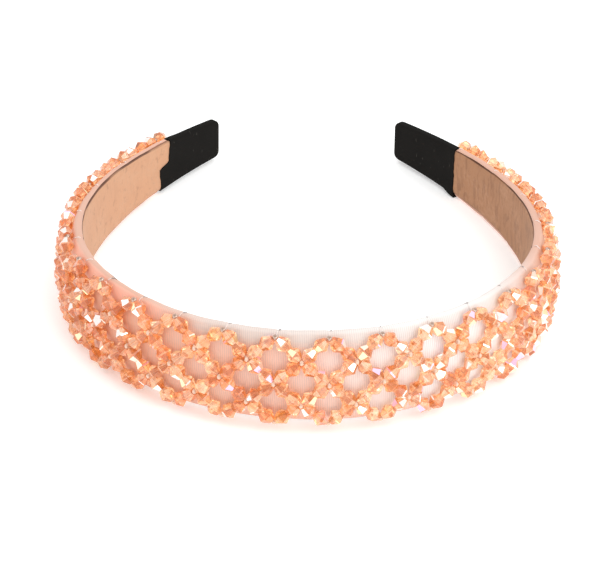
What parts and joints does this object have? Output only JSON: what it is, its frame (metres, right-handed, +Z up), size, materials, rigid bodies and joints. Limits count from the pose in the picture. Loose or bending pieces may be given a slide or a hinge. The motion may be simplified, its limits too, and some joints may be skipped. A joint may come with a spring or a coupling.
{
  "type": "crystal headband",
  "caption": "Rigid padded headband, tapering to wrapped tips, lined inside and covered outside by a diamond net of faceted crystals.",
  "frame": {"origin": "middle of the footprint, on the surface that the headband rests on", "axes": "+Z up, across the band's width; +Y from the crown of the band towards its two tips; +X to the right for someone who looks from the crown to the tips"},
  "size_m": [0.149, 0.156, 0.0298],
  "materials": {
    "satin": "pale pink satin over padding, fine ribs across the band",
    "suede": "matt tan suede cloth with a soft nap",
    "ribbon": "matt black ribbed ribbon",
    "crystal": "clear peach cut glass with a pearly coating"
  },
  "bodies": {
    "root": {"padded_band": "satin", "lining": "suede", "end_wrap_left": "ribbon", "end_wrap_right": "ribbon", "bead_net": "crystal"}
  },
  "joints": []
}
